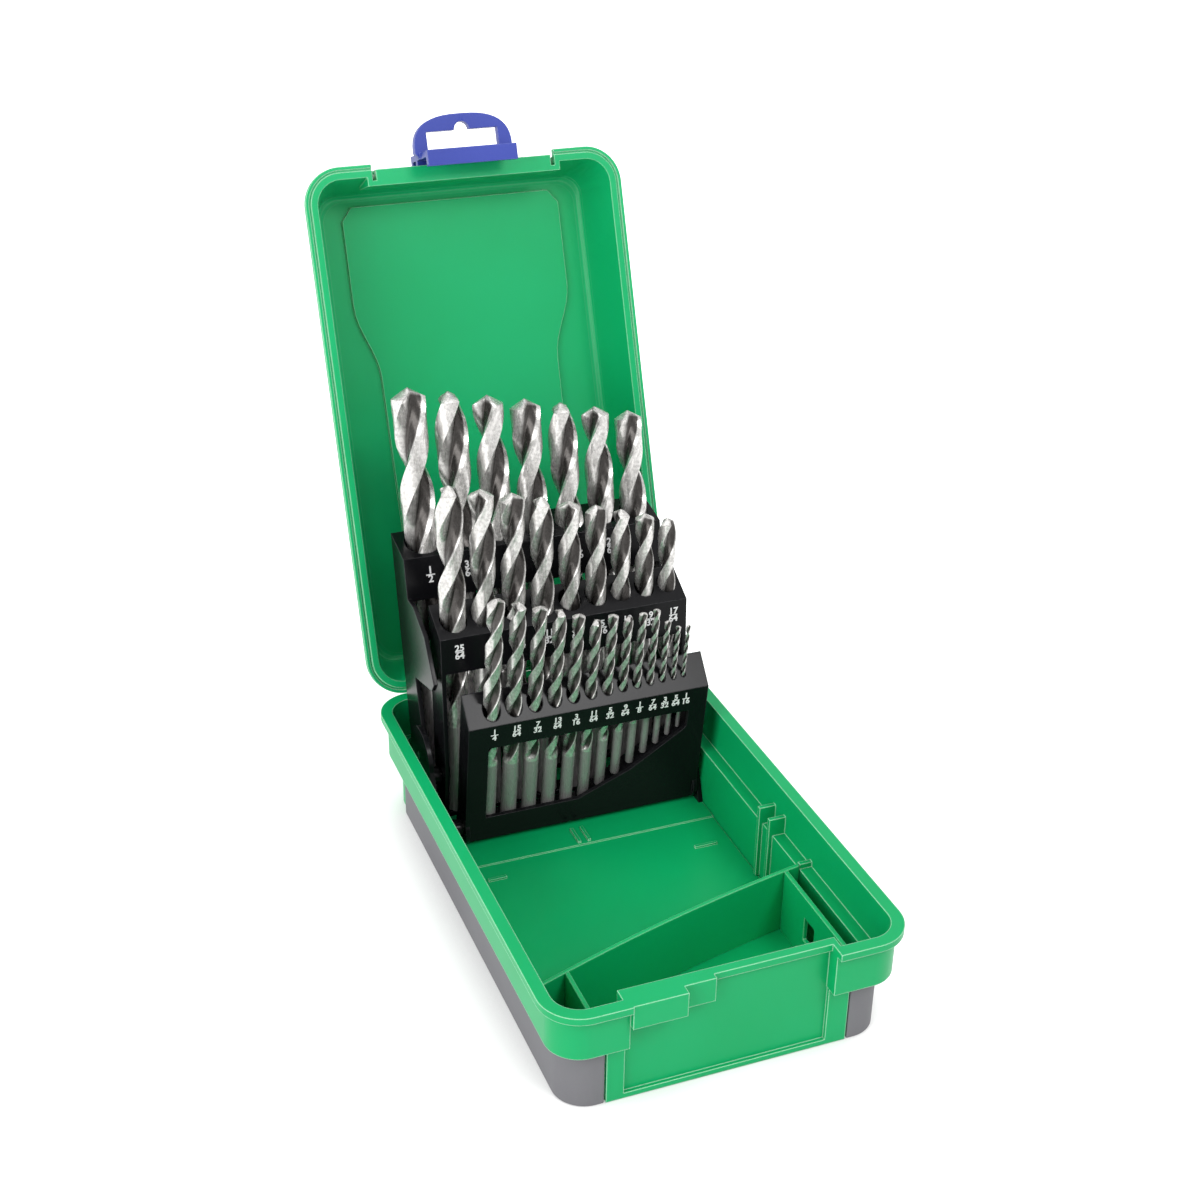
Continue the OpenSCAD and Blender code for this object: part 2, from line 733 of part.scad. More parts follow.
base_shell();
compartment_tray();
cross_divider();
divider(left_divider_x);  // divider_left
divider(right_divider_x);  // divider_right
tray_ribs();
skirt(-1);  // skirt_left
skirt(1);  // skirt_right
bracket(-1);  // bracket_left
bracket(1);  // bracket_right
pivot_pins(back_pivot, -cheek_in_x, cheek_in_x);  // pivot_pins_back
pivot_pins(middle_pivot, middle_left + rack_t, middle_right - rack_t);  // pivot_pins_middle
pivot_pins(front_pivot, front_left + rack_t, front_right - rack_t);  // pivot_pins_front
hinge_pins();
lid_shell();
latch_clasp();
back_rack();
middle_rack();
front_rack();
for (i = [0 : 6])
    back_drill(i);
for (i = [0 : 8])
    middle_drill(i);
for (i = [0 : 12])
    front_drill(i);
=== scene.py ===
"""Looks of the open drill bit case: moulded shells, black racks, twist drills, printed sizes.

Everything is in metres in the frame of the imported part. Pieces that have curved working surfaces
are computed as grids with numpy; the moulded parts are copies of the solids with rounded edges.
"""

import logging
import math
from dataclasses import dataclass, field
from enum import Enum
from fractions import Fraction

import bmesh
import bpy
import numpy as np
from mathutils import Matrix, Vector


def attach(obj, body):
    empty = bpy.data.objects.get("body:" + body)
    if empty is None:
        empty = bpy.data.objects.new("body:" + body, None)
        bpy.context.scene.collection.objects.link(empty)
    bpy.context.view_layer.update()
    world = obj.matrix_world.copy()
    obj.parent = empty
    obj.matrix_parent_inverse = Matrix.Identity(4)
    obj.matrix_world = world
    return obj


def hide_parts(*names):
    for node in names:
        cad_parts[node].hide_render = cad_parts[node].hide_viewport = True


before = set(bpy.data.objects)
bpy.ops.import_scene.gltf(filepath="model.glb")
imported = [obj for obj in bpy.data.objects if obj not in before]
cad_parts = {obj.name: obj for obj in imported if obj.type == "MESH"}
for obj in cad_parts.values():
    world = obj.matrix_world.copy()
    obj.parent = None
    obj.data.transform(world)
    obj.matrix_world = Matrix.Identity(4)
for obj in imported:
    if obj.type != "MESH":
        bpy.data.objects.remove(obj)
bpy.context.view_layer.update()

log = logging.getLogger("drill_case")
MM = 0.001
INCH = 0.0254
Colour = tuple[float, float, float]
Socket = bpy.types.NodeSocket


class Body(Enum):
    """Moving bodies of the part."""

    BASE = "base"
    LID = "lid"
    LATCH = "latch"
    BACK = "back_tier"
    MIDDLE = "middle_tier"
    FRONT = "front_tier"


class Slot(Enum):
    """Material slots of the record."""

    SHELL = "green_shell"
    LID = "green_lid"
    TRAY = "green_tray"
    SKIRT = "grey_skirt"
    RACK = "black_rack"
    PIN = "pin_steel"
    CLASP = "blue_clasp"
    DRILL = "drill_steel"


class NodeGroups:
    """Shader node groups that several finishes share, each built once."""

    _made: dict[str, bpy.types.NodeTree] = {}

    @classmethod
    def _start(
        cls, name: str, inputs: list[tuple[str, str, float]], outputs: list[tuple[str, str]]
    ) -> tuple[bpy.types.NodeTree, bpy.types.Node, bpy.types.Node]:
        """Begins a group.

        Args:
            name: name of the group.
            inputs: (name, socket type, default) of each input.
            outputs: (name, socket type) of each output.

        Returns:
            The node tree, its input node and its output node.
        """
        tree = bpy.data.node_groups.new(name, "ShaderNodeTree")
        for label, kind, default in inputs:
            socket = tree.interface.new_socket(label, in_out="INPUT", socket_type=kind)
            socket.default_value = default
        for label, kind in outputs:
            tree.interface.new_socket(label, in_out="OUTPUT", socket_type=kind)
        return tree, tree.nodes.new("NodeGroupInput"), tree.nodes.new("NodeGroupOutput")

    @classmethod
    def edge_highlight(cls) -> bpy.types.NodeTree:
        """A mask that is 1 on sharp edges: where the bevelled normal leaves the true normal.

        It marks where the painted edge highlight goes.

        Returns:
            The group, with input Radius and outputs Mask and Normal.
        """
        if "edge_highlight" not in cls._made:
            tree, enter, leave = cls._start(
                "edge_highlight",
                [("Radius", "NodeSocketFloat", 0.8 * MM)],
                [("Mask", "NodeSocketFloat"), ("Normal", "NodeSocketVector")],
            )
            bevel = tree.nodes.new("ShaderNodeBevel")
            bevel.samples = 6
            true_normal = tree.nodes.new("ShaderNodeNewGeometry")
            dot = tree.nodes.new("ShaderNodeVectorMath")
            dot.operation = "DOT_PRODUCT"
            ramp = tree.nodes.new("ShaderNodeMapRange")
            ramp.inputs["From Min"].default_value = 0.995
            ramp.inputs["From Max"].default_value = 0.80
            tree.links.new(enter.outputs["Radius"], bevel.inputs["Radius"])
            tree.links.new(bevel.outputs["Normal"], dot.inputs[0])
            tree.links.new(true_normal.outputs["True Normal"], dot.inputs[1])
            tree.links.new(dot.outputs["Value"], ramp.inputs["Value"])
            tree.links.new(ramp.outputs["Result"], leave.inputs["Mask"])
            tree.links.new(bevel.outputs["Normal"], leave.inputs["Normal"])
            cls._made["edge_highlight"] = tree
        return cls._made["edge_highlight"]

    @classmethod
    def drift(cls) -> bpy.types.NodeTree:
        """Slow blotches and fine grain of a moulded surface, from two noises on object coordinates.

        Returns:
            The group, with inputs Large and Fine (scales) and outputs Slow and Grain.
        """
        if "drift" not in cls._made:
            tree, enter, leave = cls._start(
                "drift",
                [("Large", "NodeSocketFloat", 18.0), ("Fine", "NodeSocketFloat", 1600.0)],
                [("Slow", "NodeSocketFloat"), ("Grain", "NodeSocketFloat")],
            )
            place = tree.nodes.new("ShaderNodeTexCoord")
            for source, target, detail in (("Large", "Slow", 2.0), ("Fine", "Grain", 3.0)):
                noise = tree.nodes.new("ShaderNodeTexNoise")
                noise.inputs["Detail"].default_value = detail
                tree.links.new(place.outputs["Object"], noise.inputs["Vector"])
                tree.links.new(enter.outputs[source], noise.inputs["Scale"])
                tree.links.new(noise.outputs["Fac"], leave.inputs[target])
            cls._made["drift"] = tree
        return cls._made["drift"]

    @classmethod
    def scratches(cls) -> bpy.types.NodeTree:
        """Fine streaks, from a noise stretched along one object axis.

        Returns:
            The group, with input Scale and output Streak.
        """
        if "scratches" not in cls._made:
            tree, enter, leave = cls._start(
                "scratches", [("Scale", "NodeSocketFloat", 900.0)], [("Streak", "NodeSocketFloat")]
            )
            place = tree.nodes.new("ShaderNodeTexCoord")
            stretch = tree.nodes.new("ShaderNodeMapping")
            stretch.inputs["Scale"].default_value = (1.0, 1.0, 0.06)
            noise = tree.nodes.new("ShaderNodeTexNoise")
            noise.inputs["Detail"].default_value = 4.0
            tree.links.new(place.outputs["Object"], stretch.inputs["Vector"])
            tree.links.new(stretch.outputs["Vector"], noise.inputs["Vector"])
            tree.links.new(enter.outputs["Scale"], noise.inputs["Scale"])
            tree.links.new(noise.outputs["Fac"], leave.inputs["Streak"])
            cls._made["scratches"] = tree
        return cls._made["scratches"]


def new_material(name: str) -> tuple[bpy.types.Material, bpy.types.NodeTree, bpy.types.Node]:
    """Makes a material with node tree.

    Args:
        name: name of the material.

    Returns:
        The material, its tree and its Principled BSDF.
    """
    material = bpy.data.materials.new(name)
    material.use_nodes = True
    return material, material.node_tree, material.node_tree.nodes["Principled BSDF"]


def add_group(tree: bpy.types.NodeTree, group: bpy.types.NodeTree,
              **values: float) -> bpy.types.Node:
    """Places a node group.

    Args:
        tree: the material's tree.
        group: the group to place.
        values: values of its inputs by name.

    Returns:
        The group node.
    """
    node = tree.nodes.new("ShaderNodeGroup")
    node.node_tree = group
    for label, value in values.items():
        node.inputs[label].default_value = value
    return node


def add_mix(tree: bpy.types.NodeTree, factor: Socket, first: Colour | Socket,
            second: Colour | Socket) -> Socket:
    """Mixes two colours.

    Args:
        tree: the material's tree.
        factor: socket that drives the mix.
        first: colour or socket at factor 0.
        second: colour or socket at factor 1.

    Returns:
        The mixed colour's socket.
    """
    mix = tree.nodes.new("ShaderNodeMix")
    mix.data_type = "RGBA"
    tree.links.new(factor, mix.inputs[0])
    for value, socket in ((first, mix.inputs[6]), (second, mix.inputs[7])):
        if isinstance(value, Socket):
            tree.links.new(value, socket)
        else:
            socket.default_value = (*value, 1.0)
    return mix.outputs[2]


def add_range(tree: bpy.types.NodeTree, source: Socket, low: float, high: float,
              start: float = 0.0, end: float = 1.0) -> Socket:
    """Maps start..end of a value to low..high.

    Args:
        tree: the material's tree.
        source: socket of the value.
        low: result at start.
        high: result at end.
        start: value that gives low.
        end: value that gives high.

    Returns:
        The socket of the mapped value.
    """
    node = tree.nodes.new("ShaderNodeMapRange")
    node.inputs["From Min"].default_value = start
    node.inputs["From Max"].default_value = end
    node.inputs["To Min"].default_value = low
    node.inputs["To Max"].default_value = high
    tree.links.new(source, node.inputs["Value"])
    return node.outputs["Result"]


def add_bump(tree: bpy.types.NodeTree, shader: bpy.types.Node, height: Socket, strength: float,
             distance: float, normal: Socket | None = None) -> None:
    """Feeds a bump into the shader's normal.

    Args:
        tree: the material's tree.
        shader: the Principled BSDF.
        height: socket of the height.
        strength: strength of the bump.
        distance: real height of the bump in metres.
        normal: socket of the normal to bump, or None.
    """
    bump = tree.nodes.new("ShaderNodeBump")
    bump.inputs["Strength"].default_value = strength
    bump.inputs["Distance"].default_value = distance
    tree.links.new(height, bump.inputs["Height"])
    if normal is not None:
        tree.links.new(normal, bump.inputs["Normal"])
    tree.links.new(bump.outputs["Normal"], shader.inputs["Normal"])


@dataclass(frozen=True)
class MouldedPlastic:
    """Injection-moulded plastic with painted edge highlights, slow colour drift and fine grain."""

    name: str
    colour: Colour
    drift_colour: Colour
    # Colour and share of the painted highlight along sharp edges, and the radius of the edges'
    # rounding and highlight.
    edge_highlight_colour: Colour
    edge_highlight_amount: float = 0.6
    edge_radius: float = 0.8 * MM
    roughness: float = 0.32
    grain: float = 0.06
    specular: float = 0.22
    light_through: float = 0.0
    blotch_scale: float = 18.0
    grain_scale: float = 1600.0

    def make(self) -> bpy.types.Material:
        """Builds the material.

        Returns:
            The finished material.
        """
        material, tree, shader = new_material(self.name)
        drift = add_group(tree, NodeGroups.drift(), Large=self.blotch_scale,
                          Fine=self.grain_scale)
        edge = add_group(tree, NodeGroups.edge_highlight(), Radius=self.edge_radius)
        slow = add_range(tree, drift.outputs["Slow"], 0.0, 1.0, 0.35, 0.65)
        body = add_mix(tree, slow, self.colour, self.drift_colour)
        # Painted highlight: the edge colour is mixed in along sharp edges, standing in for light
        # caught by the rounded rims.
        painted_edge_highlight = add_range(tree, edge.outputs["Mask"], 0.0, self.edge_highlight_amount)
        tree.links.new(add_mix(tree, painted_edge_highlight, body, self.edge_highlight_colour), shader.inputs["Base Color"])
        rough = add_range(tree, drift.outputs["Slow"], self.roughness - 0.05,
                          self.roughness + 0.07)
        tree.links.new(rough, shader.inputs["Roughness"])
        shader.inputs["Specular IOR Level"].default_value = self.specular
        shader.inputs["Subsurface Weight"].default_value = self.light_through
        shader.inputs["Subsurface Radius"].default_value = (0.3, 1.0, 0.5)
        shader.inputs["Subsurface Scale"].default_value = 2.0 * MM
        add_bump(tree, shader, drift.outputs["Grain"], self.grain, 0.1 * MM,
                 edge.outputs["Normal"])
        return material


@dataclass(frozen=True)
class GroundSteel:
    """Ground steel with fine streaks and grain.

    The attribute "flute" darkens the flutes, and "shank" makes the plain shank duller.
    """

    name: str
    bright: Colour = (0.70, 0.685, 0.665)
    dark: Colour = (0.022, 0.018, 0.016)
    shank: Colour = (0.30, 0.285, 0.285)
    spot_share: float = 0.70
    flute_cover: float = 0.94
    roughness: float = 0.24
    metal: float = 0.68
    shank_metal: float = 0.35
    fluted: bool = True

    def make(self) -> bpy.types.Material:
        """Builds the material.

        Returns:
            The finished material.
        """
        material, tree, shader = new_material(self.name)
        streaks = add_group(tree, NodeGroups.scratches(), Scale=1100.0)
        grain = add_group(tree, NodeGroups.drift(), Large=950.0, Fine=2400.0)
        spots = add_range(tree, grain.outputs["Slow"], 0.0, 1.0, 0.40, 0.64)
        colour = add_mix(tree, spots, self.bright, tuple(self.spot_share * c for c in self.bright))
        rough = add_range(tree, streaks.outputs["Streak"], self.roughness - 0.06,
                          self.roughness + 0.12, 0.3, 0.7)
        if self.fluted:
            mask = tree.nodes.new("ShaderNodeAttribute")
            mask.attribute_name = "flute"
            deep = add_range(tree, mask.outputs["Fac"], 0.0, self.flute_cover, 0.12, 0.75)
            colour = add_mix(tree, deep, colour, self.dark)
            plain = tree.nodes.new("ShaderNodeAttribute")
            plain.attribute_name = "shank"
            colour = add_mix(tree, plain.outputs["Fac"], colour, self.shank)
            metal = add_range(tree, plain.outputs["Fac"], self.metal, self.shank_metal)
            tree.links.new(metal, shader.inputs["Metallic"])
        else:
            shader.inputs["Metallic"].default_value = self.metal
        tree.links.new(colour, shader.inputs["Base Color"])
        tree.links.new(rough, shader.inputs["Roughness"])
        shader.inputs["Specular IOR Level"].default_value = 0.3
        add_bump(tree, shader, streaks.outputs["Streak"], 0.3, 0.08 * MM)
        return material


@dataclass(frozen=True)
class PrintedInk:
    """White pad-printed ink with slightly uneven cover."""

    name: str = "white_ink"
    colour: Colour = (0.86, 0.86, 0.86)
    thin_colour: Colour = (0.70, 0.70, 0.71)

    def make(self) -> bpy.types.Material:
        """Builds the material.

        Returns:
            The finished material.
        """
        material, tree, shader = new_material(self.name)
        drift = add_group(tree, NodeGroups.drift(), Large=900.0, Fine=3000.0)
        cover = add_range(tree, drift.outputs["Slow"], 0.0, 1.0, 0.3, 0.7)
        colour = add_mix(tree, cover, self.colour, self.thin_colour)
        tree.links.new(colour, shader.inputs["Base Color"])
        rough = add_range(tree, drift.outputs["Grain"], 0.4, 0.55)
        tree.links.new(rough, shader.inputs["Roughness"])
        return material


class Finishes:
    """Every finish of the case, made once."""

    def __init__(self) -> None:
        """Builds the materials."""
        green = (0.0025, 0.365, 0.122)
        deep = (0.002, 0.345, 0.110)
        # This light green and the other edge colours below are painted highlights along sharp
        # edges.
        highlight_green = (0.50, 0.86, 0.62)
        self.shell = MouldedPlastic(
            "green_shell", green, deep, highlight_green,
            edge_highlight_amount=0.9, edge_radius=0.6 * MM, light_through=0.2).make()
        self.lid = MouldedPlastic(
            "green_lid", (0.004, 0.385, 0.135), green, highlight_green,
            edge_highlight_amount=0.9, edge_radius=0.6 * MM, light_through=0.2).make()
        self.tray = MouldedPlastic(
            "green_tray", (0.002, 0.375, 0.120), deep, highlight_green,
            edge_highlight_amount=1.0, edge_radius=0.4 * MM, light_through=0.2).make()
        self.skirt = MouldedPlastic(
            "grey_skirt", (0.165, 0.163, 0.175), (0.145, 0.143, 0.155), (0.26, 0.26, 0.28),
            edge_highlight_amount=0.4, roughness=0.55, grain=0.25).make()
        self.rack = MouldedPlastic(
            "black_rack", (0.004, 0.004, 0.005), (0.006, 0.006, 0.007), (0.05, 0.05, 0.055),
            edge_highlight_amount=0.5, edge_radius=0.5 * MM, roughness=0.2, grain=0.03, specular=0.14).make()
        self.clasp = MouldedPlastic(
            "blue_clasp", (0.028, 0.048, 0.30), (0.036, 0.058, 0.34), (0.20, 0.24, 0.62),
            edge_highlight_amount=0.6, edge_radius=0.6 * MM, roughness=0.33).make()
        self.pin = GroundSteel("pin_steel", metal=0.9, fluted=False).make()
        self.drill = GroundSteel("drill_steel").make()
        self.ink = PrintedInk().make()


def add_piece(name: str, mesh: bpy.types.Mesh, material: bpy.types.Material, body: Body,
              nodes: tuple[str, ...] = ()) -> bpy.types.Object:
    """Adds a finished mesh to the scene as a piece of the case.

    Args:
        name: name of the piece.
        mesh: its mesh, in the part's frame.
        material: its finish.
        body: the body it moves with.
        nodes: solids it stands for.

    Returns:
        The new object.
    """
    piece = bpy.data.objects.new(name, mesh)
    bpy.context.scene.collection.objects.link(piece)
    mesh.materials.clear()
    mesh.materials.append(material)
    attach(piece, body.value)
    if nodes:
        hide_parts(*nodes)
    log.info("%s: %d faces on %s", name, len(mesh.polygons), body.value)
    return piece


def mesh_from_grid(name: str, points: np.ndarray) -> bpy.types.Mesh:
    """Makes a closed tube-like mesh from rings of points.

    Args:
        name: name of the mesh.
        points: array (rings, sides, 3); each ring runs counter-clockwise seen from the last ring.

    Returns:
        The mesh.
    """
    rings, sides, _ = points.shape
    ring, side = np.meshgrid(np.arange(rings - 1), np.arange(sides), indexing="ij")
    after = (side + 1) % sides
    quads = np.stack([ring * sides + side, ring * sides + after,
                      (ring + 1) * sides + after, (ring + 1) * sides + side], axis=-1)
    faces = quads.reshape(-1, 4).tolist()
    faces.append(list(range(sides))[::-1])
    faces.append([(rings - 1) * sides + k for k in range(sides)])
    mesh = bpy.data.meshes.new(name)
    mesh.from_pydata(points.reshape(-1, 3).tolist(), [], faces)
    mesh.update()
    return mesh


@dataclass(frozen=True)
class RowPlace:
    """Where a row of drills stands: foot on the axis plane and the backward lean."""

    foot_y: float
    foot_z: float
    lean: float

    def matrix(self) -> Matrix:
        """Finds the row's place in the part.

        Returns:
            The turn and shift from a rack's own axes to the part's frame.
        """
        turn = Matrix.Rotation(-math.radians(self.lean), 4, "X")
        return Matrix.Translation(Vector((0.0, self.foot_y, self.foot_z))) @ turn


@dataclass(frozen=True)
class DrillForm:
    """Proportions of a two-flute drill.

    The land and the margin are angles in radians within half a turn, the foot's chamfer is in
    metres, and the other heights and depths are shares of the drill's radius.
    """

    foot_chamfer: float = 0.3 * MM
    foot_radius: float = 0.9
    fluted_share: float = 0.72
    helix_degrees: float = 29.0
    tip_height: float = 0.60
    fade_length: float = 1.2
    land: float = 0.40 * math.pi
    margin: float = 0.09 * math.pi
    clearance: float = 0.035
    hollow_depth: float = 0.66
    hollow_skew: float = 0.8
    hollow_fullness: float = 0.75
    dark_share: float = 0.35
    point_darkness: float = 0.35
    bright_heel: float = 0.93
    turn_step: float = 0.9
    rings_per_turn: int = 26
    fewest_rings: int = 60
    most_rings: int = 150
    point_rings: tuple[float, ...] = (0.92, 0.7, 0.45, 0.2, 0.04)


@dataclass
class DrillRow:
    """One row of twist drills with its rack's printed sizes."""

    name: str
    body: Body
    place: RowPlace
    first_64ths: int
    count: int
    first_x: float
    web: float
    label_along: float
    label_across: float
    label_height: float
    sides: int
    seats: list[float] = field(default_factory=list)
    form: DrillForm = DrillForm()

    def diameter(self, i: int) -> float:
        """Looks up a drill's diameter.

        Args:
            i: number of the drill in its row.

        Returns:
            The diameter in metres.
        """
        return (self.first_64ths - i) * INCH / 64

    def length(self, i: int) -> float:
        """Looks up a drill's jobber length: 6 in at 1/2 in, 1/8 in less for each 1/64 in.

        Args:
            i: number of the drill in its row.

        Returns:
            The length in metres, with the standard's extra steps among the thin drills.
        """
        n = self.first_64ths - i
        short = (n < 12) + (n < 10) + 2 * (n < 7) + (n < 6)
        return INCH * (6 - (32 - n) / 8 - short / 8)

    def across(self, i: int) -> float:
        """Finds where a drill stands along the row.

        Args:
            i: number of the drill in its row.

        Returns:
            The x of its axis in metres.
        """
        gaps = [(self.diameter(k - 1) + self.diameter(k)) / 2 + self.web for k in range(1, i + 1)]
        return self.first_x + sum(gaps)

    def drill_points(self, i: int, seat: float) -> tuple[np.ndarray, dict[str, np.ndarray]]:
        """Surface of a two-flute twist drill as rings of points.

        The section's radius is the land radius, less a flute term: over the flute's share of each
        half turn it falls by a skewed sine to the web. The section turns steadily along the
        flutes, which fade in over fade_length, and the point is the same section scaled down
        under a 118 degree cone.

        Args:
            i: number of the drill in its row.
            seat: height of its foot over the row's foot line.

        Returns:
            Points (rings, sides, 3) in the rack's own axes, and each point's flute and shank masks.
        """
        form = self.form
        radius = self.diameter(i) / 2
        length = self.length(i)
        start = length * (1 - form.fluted_share)
        tip = form.tip_height * radius
        pitch = 2 * math.pi * radius / math.tan(math.radians(form.helix_degrees))
        wanted = form.rings_per_turn * length * form.fluted_share / pitch
        body_rings = int(min(form.most_rings, max(form.fewest_rings, wanted)))
        z = np.concatenate([[0.0, form.foot_chamfer, start * 0.5, start * 0.98],
                            np.linspace(start, length - tip, body_rings)])
        foot = np.concatenate([[form.foot_radius, 1.0, 1.0, 1.0], np.ones(body_rings)])
        angle = np.linspace(0, 2 * math.pi, self.sides, endpoint=False)
        twist = np.clip(z - start, 0, None) * 2 * math.pi / pitch
        phase = (angle[None, :]) % math.pi
        flute = math.pi - form.land
        inside = np.clip((phase - form.land) / flute, 0, 1)
        hollow = np.sin(math.pi * inside ** form.hollow_skew) ** form.hollow_fullness
        fade = np.clip((z - start) / (form.fade_length * radius), 0, 1)[:, None]
        lowered = form.clearance * ((phase > form.margin) & (phase <= form.land))
        reach = radius * foot[:, None] * (1 - fade * (form.hollow_depth * hollow + lowered))
        turned = angle[None, :] + twist[:, None] + form.turn_step * i
        rings = np.stack([reach * np.cos(turned), reach * np.sin(turned),
                          np.repeat(z[:, None], self.sides, axis=1)], axis=-1)
        shade = np.clip((phase - form.land) / (form.dark_share * flute), 0, 1)
        shade = shade * (inside < form.bright_heel)
        mask = np.clip(fade * shade * np.ones_like(reach), 0, 1)
        last = reach[-1]
        cone = np.stack([np.stack([step * last * np.cos(turned[-1]),
                                   step * last * np.sin(turned[-1]),
                                   length - step * last * tip / radius], axis=-1)
                         for step in form.point_rings])
        points = np.concatenate([rings, cone])
        points[..., 2] += seat
        point_mask = np.repeat(mask[-1:] * form.point_darkness, len(form.point_rings), axis=0)
        mask = np.concatenate([mask, point_mask])
        shank = (points[..., 2] - seat < start).astype(np.float32)
        return points, {"flute": mask, "shank": shank}

    def build_drills(self, finishes: Finishes) -> None:
        """Builds every drill of the row.

        Args:
            finishes: the finishes to use.
        """
        matrix = np.array(self.place.matrix())
        for i in range(self.count):
            points, masks = self.drill_points(i, self.seats[i] if self.seats else 0.0)
            points[..., 0] += self.across(i)
            points = points @ matrix[:3, :3].T + matrix[:3, 3]
            name = f"{self.name}_drill_{i + 1}"
            mesh = mesh_from_grid(name, points)
            for label, mask in masks.items():
                layer = mesh.attributes.new(label, "FLOAT", "POINT")
                layer.data.foreach_set("value", mask.reshape(-1).astype(np.float32))
            mesh.shade_smooth()
            mesh.set_sharp_from_angle(angle=math.radians(38))
            add_piece(name, mesh, finishes.drill, self.body,
                      (f"drill_{self.name}_{i + 1}",))

    def build_labels(self, finishes: Finishes) -> None:
        """Prints the sizes as stacked fractions on the rack's front band.

        Args:
            finishes: the finishes to use.
        """
        whole = bmesh.new()
        front = self.place.matrix() @ Matrix.Rotation(math.radians(90), 4, "X")
        for i in range(self.count):
            size = Fraction(self.first_64ths - i, 64)
            text = text_mesh(f"{size.numerator}\n{size.denominator}", self.label_height)
            shift = Matrix.Translation(
                Vector((self.across(i), self.label_along, -self.label_across)))
            for mesh in (text, bar_mesh(Lettering.bar * self.label_height)):
                mesh.transform(front @ shift)
                whole.from_mesh(mesh)
                bpy.data.meshes.remove(mesh)
        mesh = bpy.data.meshes.new(f"{self.name}_sizes")
        whole.to_mesh(mesh)
        whole.free()
        add_piece(f"{self.name}_sizes", mesh, finishes.ink, self.body)


@dataclass(frozen=True)
class Lettering:
    """Shape of a printed size: shares of its height, the bar's own shares, and the ink's depth."""

    letter: float = 0.62
    line_step: float = 0.86
    stroke: float = 0.018
    bar: float = 0.55
    bar_height: float = 0.13
    half_depth: float = 0.04 * MM


def text_mesh(text: str, height: float) -> bpy.types.Mesh:
    """Makes centred text, two lines high, as a thin mesh in its own XY plane.

    Args:
        text: what is printed, with a line break.
        height: height of both lines together.

    Returns:
        The mesh.
    """
    curve = bpy.data.curves.new("size_text", "FONT")
    curve.body = text
    curve.size = Lettering.letter * height
    curve.space_line = Lettering.line_step
    curve.align_x = "CENTER"
    curve.align_y = "CENTER"
    curve.offset = Lettering.stroke * height
    curve.extrude = Lettering.half_depth
    curve.resolution_u = 3
    carrier = bpy.data.objects.new("size_text", curve)
    bpy.context.scene.collection.objects.link(carrier)
    bpy.context.view_layer.update()
    mesh = bpy.data.meshes.new_from_object(carrier)
    bpy.data.objects.remove(carrier)
    bpy.data.curves.remove(curve)
    return mesh


def bar_mesh(width: float) -> bpy.types.Mesh:
    """Makes the thin bar of a fraction.

    Args:
        width: length of the bar.

    Returns:
        The mesh.
    """
    made = bmesh.new()
    bmesh.ops.create_cube(made, size=1.0)
    bmesh.ops.scale(made, vec=(width, Lettering.bar_height * width, 2 * Lettering.half_depth),
                    verts=made.verts)
    mesh = bpy.data.meshes.new("bar")
    made.to_mesh(mesh)
    made.free()
    return mesh


@dataclass(frozen=True)
class Moulding:
    """A moulded part: a merged copy of its solid with rounded edges."""

    node: str
    body: Body
    slot: Slot
    round_edge: float
    edge_angle: float = 34.0
    flat_angle: float = 0.6
    weld: float = 0.002 * MM
    rounded_share: float = 0.42
    join_faces: bool = True

    def weigh_edges(self, made: bmesh.types.BMesh) -> int:
        """Gives each sharp edge the share of the rounding that fits the surfaces beside it.

        Faces that meet smoothly make one surface; its width is twice its area over the length of
        its sharp edges, and an edge takes at most rounded_share of the narrower surface.

        Args:
            made: the mesh; its edges get the weight.

        Returns:
            The number of sharp edges.
        """
        weight = made.edges.layers.float.new("bevel_weight_edge")
        limit = math.radians(self.edge_angle)
        sharp = {e for e in made.edges if len(e.link_faces) != 2 or e.calc_face_angle(0.0) > limit}
        surface: dict[bmesh.types.BMFace, int] = {}
        widths: list[float] = []
        for first in made.faces:
            if first in surface:
                continue
            surface[first] = len(widths)
            stack, area, length = [first], 0.0, 0.0
            while stack:
                face = stack.pop()
                area += face.calc_area()
                for edge in face.edges:
                    if edge in sharp:
                        length += edge.calc_length()
                        continue
                    for other in edge.link_faces:
                        if other not in surface:
                            surface[other] = len(widths)
                            stack.append(other)
            widths.append(2 * area / max(length, 1e-9))
        for edge in sharp:
            room = min((widths[surface[f]] for f in edge.link_faces), default=0.0)
            edge[weight] = min(1.0, self.rounded_share * room / self.round_edge)
        return len(sharp)

    def build(self, material: bpy.types.Material) -> bpy.types.Object:
        """Copies the solid, joins its loose triangles into whole faces and rounds its edges.

        Args:
            material: the finish.

        Returns:
            The piece.
        """
        made = bmesh.new()
        made.from_mesh(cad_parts[self.node].data)
        bmesh.ops.remove_doubles(made, verts=made.verts, dist=self.weld)
        if self.join_faces:
            bmesh.ops.dissolve_limit(made, angle_limit=math.radians(self.flat_angle),
                                     verts=made.verts, edges=made.edges)
        count = self.weigh_edges(made)
        mesh = bpy.data.meshes.new(f"{self.node}_moulded")
        made.to_mesh(mesh)
        made.free()
        mesh.shade_smooth()
        piece = add_piece(f"{self.node}_moulded", mesh, material, self.body,
                          (self.node,))
        edges = piece.modifiers.new("rounded_edges", "BEVEL")
        edges.width = self.round_edge
        edges.segments = 2
        edges.limit_method = "WEIGHT"
        edges.use_clamp_overlap = True
        normals = piece.modifiers.new("face_normals", "WEIGHTED_NORMAL")
        normals.keep_sharp = True
        log.info("%s: %d sharp edges rounded", self.node, count)
        return piece


